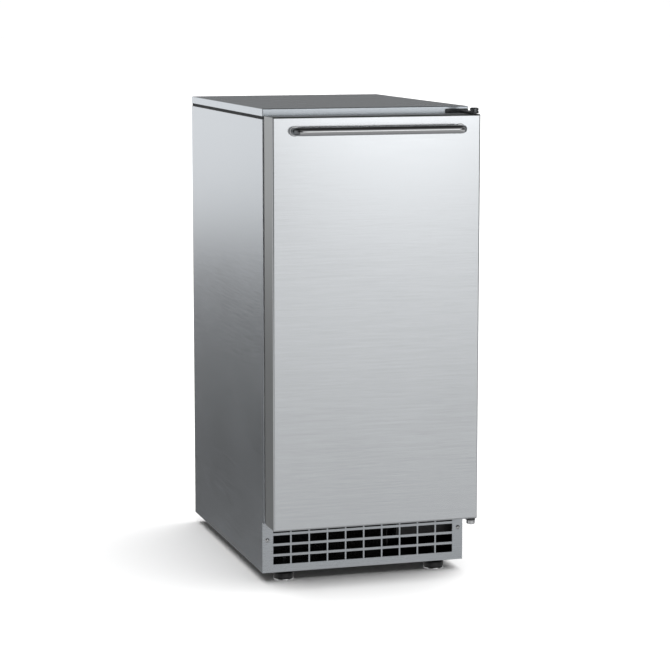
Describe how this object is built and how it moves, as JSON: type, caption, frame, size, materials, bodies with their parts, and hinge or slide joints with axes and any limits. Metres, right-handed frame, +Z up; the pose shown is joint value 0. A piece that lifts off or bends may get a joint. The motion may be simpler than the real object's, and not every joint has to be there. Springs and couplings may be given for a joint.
{
  "type": "undercounter ice maker",
  "caption": "Undercounter ice maker: insulated stainless cabinet, hinged door with a bar handle, ice bin under a spray freezing unit, and an air-cooled refrigeration unit behind a toe grille.",
  "frame": {"origin": "on the floor, at the middle of the whole machine's box", "axes": "+Z up, -Y towards someone facing the door, +X to that person's right"},
  "size_m": [0.38, 0.6472, 0.85],
  "materials": {
    "brushed_stainless": "brushed stainless, fine horizontal grain",
    "grey_casing": "satin stainless sheet",
    "galvanised": "galvanised sheet",
    "chrome": "polished",
    "black_steel": "satin black",
    "black_paint": "gloss black",
    "copper": "bare copper tube",
    "tinned": "tinned, satin",
    "aluminium": "mill",
    "white_plastic": "white, semi-gloss",
    "grey_plastic": "grey",
    "black_plastic": "black, matt",
    "blue_plastic": "translucent blue grey",
    "rubber": "black, matt",
    "foam": "insulation foam"
  },
  "bodies": {
    "cabinet": {"base_pan": "galvanised", "left_side_panel": "grey_casing", "right_side_panel": "grey_casing", "back_panel": "galvanised", "top_panel": "grey_casing", "top_seal": "rubber", "front_collar": "brushed_stainless", "bin_deck": "galvanised", "cabinet_insulation": "foam", "bin_liner": "white_plastic", "toe_grille": "brushed_stainless", "grille_screw_left": "chrome", "grille_screw_right": "chrome", "upper_hinge_bracket": "black_steel", "lower_hinge_bracket": "black_steel", "upper_hinge_pin": "black_steel", "lower_hinge_pin": "chrome", "evaporator_housing": "white_plastic", "evaporator": "tinned", "evaporator_coil": "copper", "water_sump": "white_plastic", "spray_bar": "grey_plastic", "cube_chute": "blue_plastic", "pump_motor": "black_plastic", "float_stem": "grey_plastic", "scoop_holder": "white_plastic", "compressor": "black_paint", "compressor_terminal_cover": "black_plastic", "condenser": "aluminium", "fan_shroud": "galvanised", "fan_motor": "black_paint", "fan_bracket": "galvanised", "control_box": "galvanised", "suction_tube": "copper", "feed_tube": "copper", "filter_drier": "copper", "liquid_tube": "copper", "discharge_tube": "copper", "water_inlet_valve": "black_plastic", "water_fill_tube": "white_plastic", "drain_tube": "grey_plastic", "power_inlet": "black_plastic"},
    "door": {"door_skin": "brushed_stainless", "door_inner_panel": "white_plastic", "door_insulation": "foam", "door_gasket": "rubber", "upper_hinge_bush": "grey_plastic", "lower_hinge_bush": "grey_plastic", "door_handle": "chrome"},
    "fan": {"fan_blade": "black_plastic"},
    "impeller": {"pump_impeller": "grey_plastic"},
    "curtain": {"ice_curtain": "blue_plastic"},
    "rocker": {"power_rocker": "black_plastic"},
    "scoop": {"ice_scoop": "blue_plastic"},
    "float": {"float_switch": "white_plastic"},
    "foot_front_left": {"levelling_foot_front_left": "chrome"},
    "foot_front_right": {"levelling_foot_front_right": "chrome"},
    "foot_rear_left": {"levelling_foot_rear_left": "chrome"},
    "foot_rear_right": {"levelling_foot_rear_right": "chrome"}
  },
  "joints": [
    {"name": "door_hinge", "type": "hinge", "parent": "cabinet", "child": "door", "pos_m": [0.181, -0.28037, 0.475], "axis": [0, 0, 1], "range_deg": [0, 110]},
    {"name": "fan_spin", "type": "hinge", "parent": "cabinet", "child": "fan", "pos_m": [-0.062, -0.13467, 0.119], "axis": [0, 1, 0], "continuous": true},
    {"name": "pump_spin", "type": "hinge", "parent": "cabinet", "child": "impeller", "pos_m": [0.0863, 0.17692, 0.7], "axis": [0, 0, 1], "continuous": true},
    {"name": "curtain_swing", "type": "hinge", "parent": "cabinet", "child": "curtain", "pos_m": [0, -0.11238, 0.787], "axis": [-1, 0, 0], "range_deg": [0, 70]},
    {"name": "power_rocker_tilt", "type": "hinge", "parent": "cabinet", "child": "rocker", "pos_m": [0.1045, -0.18418, 0.1462], "axis": [-1, 0, 0], "range_deg": [0, 17]},
    {"name": "scoop_lift", "type": "slide", "parent": "cabinet", "child": "scoop", "axis": [0, 0, 1], "range_m": [0, 0.055]},
    {"name": "float_travel", "type": "slide", "parent": "cabinet", "child": "float", "axis": [0, 0, 1], "range_m": [0, 0.03]},
    {"name": "foot_screw_front_left", "type": "slide", "parent": "cabinet", "child": "foot_front_left", "axis": [0, 0, -1], "range_m": [0, 0.02]},
    {"name": "foot_screw_front_right", "type": "slide", "parent": "cabinet", "child": "foot_front_right", "axis": [0, 0, -1], "range_m": [0, 0.02]},
    {"name": "foot_screw_rear_left", "type": "slide", "parent": "cabinet", "child": "foot_rear_left", "axis": [0, 0, -1], "range_m": [0, 0.02]},
    {"name": "foot_screw_rear_right", "type": "slide", "parent": "cabinet", "child": "foot_rear_right", "axis": [0, 0, -1], "range_m": [0, 0.02]}
  ]
}
